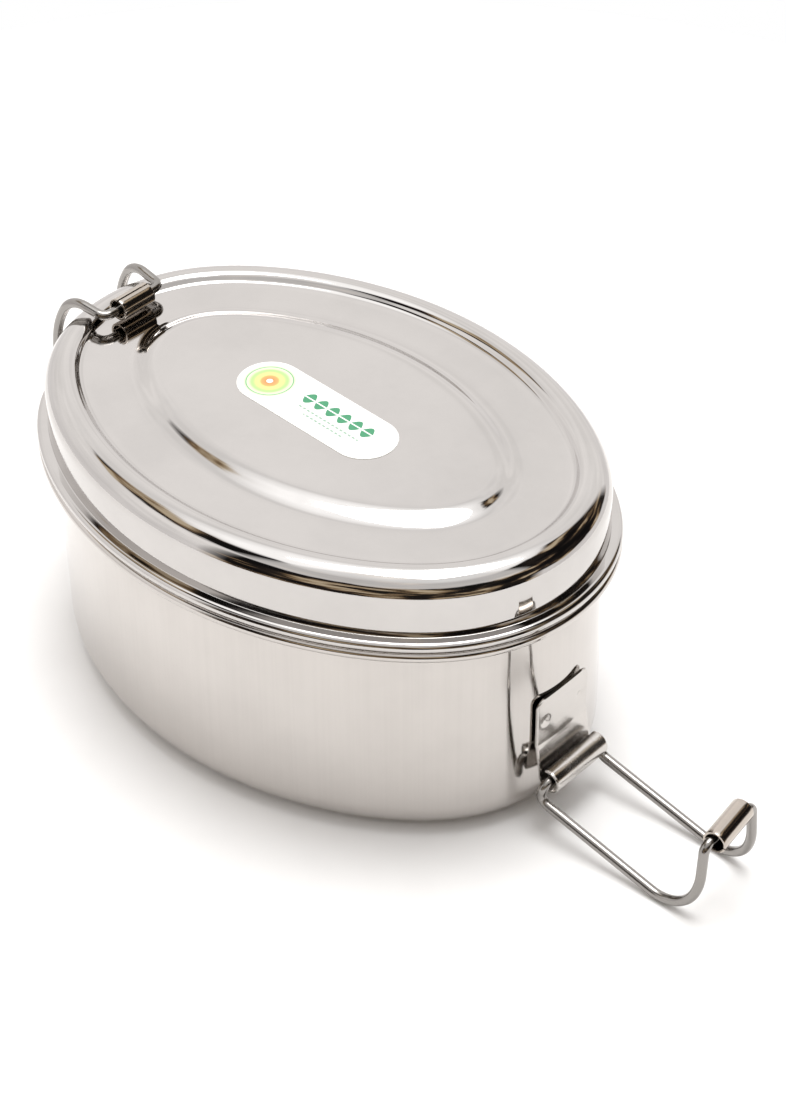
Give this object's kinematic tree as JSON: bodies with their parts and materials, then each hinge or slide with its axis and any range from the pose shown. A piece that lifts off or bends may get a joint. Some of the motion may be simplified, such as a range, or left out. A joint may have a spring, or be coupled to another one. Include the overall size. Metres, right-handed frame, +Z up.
{
  "type": "oval steel lunch box",
  "caption": "Oval stainless-steel lunch box with a lift-off lid and a sprung wire clip with a rolled sleeve at each end, the left one closed and the right one hanging open.",
  "frame": {"origin": "centre of the container's footprint, on the table", "axes": "+X along the oval's long axis towards the open clip, +Y across the box, +Z up through the lid"},
  "size_m": [0.2314, 0.1246, 0.0907],
  "materials": {
    "shell_steel": "polished stainless steel with fine drawing lines",
    "bracket_steel": "plain stainless sheet, rubbed",
    "wire_steel": "polished round wire",
    "sleeve_steel": "rolled sheet, rubbed",
    "label_paper": "coated paper sticker with a pale printed emblem"
  },
  "bodies": {
    "container": {"container": "shell_steel", "left_bracket": "bracket_steel", "left_welds": "bracket_steel", "right_bracket": "bracket_steel", "right_welds": "bracket_steel"},
    "lid": {"lid": "shell_steel", "label": "label_paper"},
    "left_bail": {"left_bail": "wire_steel"},
    "left_sleeve": {"left_sleeve": "sleeve_steel"},
    "right_bail": {"right_bail": "wire_steel"},
    "right_sleeve": {"right_sleeve": "sleeve_steel"}
  },
  "joints": [
    {"name": "lid_swing", "type": "hinge", "parent": "container", "child": "lid", "pos_m": [-0.08614, 0, 0.04097], "axis": [0, -1, 0], "range_deg": [0, 62]},
    {"name": "left_bail_swing", "type": "hinge", "parent": "lid", "child": "left_bail", "pos_m": [-0.08614, 0, 0.04097], "axis": [0, -1, 0], "range_deg": [0, 62]},
    {"name": "left_sleeve_spin", "type": "hinge", "parent": "left_bail", "child": "left_sleeve", "pos_m": [-0.06938, 0, 0.08754], "axis": [0, 1, 0], "continuous": true},
    {"name": "right_bail_swing", "type": "hinge", "parent": "container", "child": "right_bail", "pos_m": [0.08614, 0, 0.0153], "axis": [0, -1, 0], "range_deg": [0, 75]},
    {"name": "right_sleeve_spin", "type": "hinge", "parent": "right_bail", "child": "right_sleeve", "pos_m": [0.13472, 0, 0.02429], "axis": [0.119, -0.9925, -0.0264], "continuous": true}
  ]
}
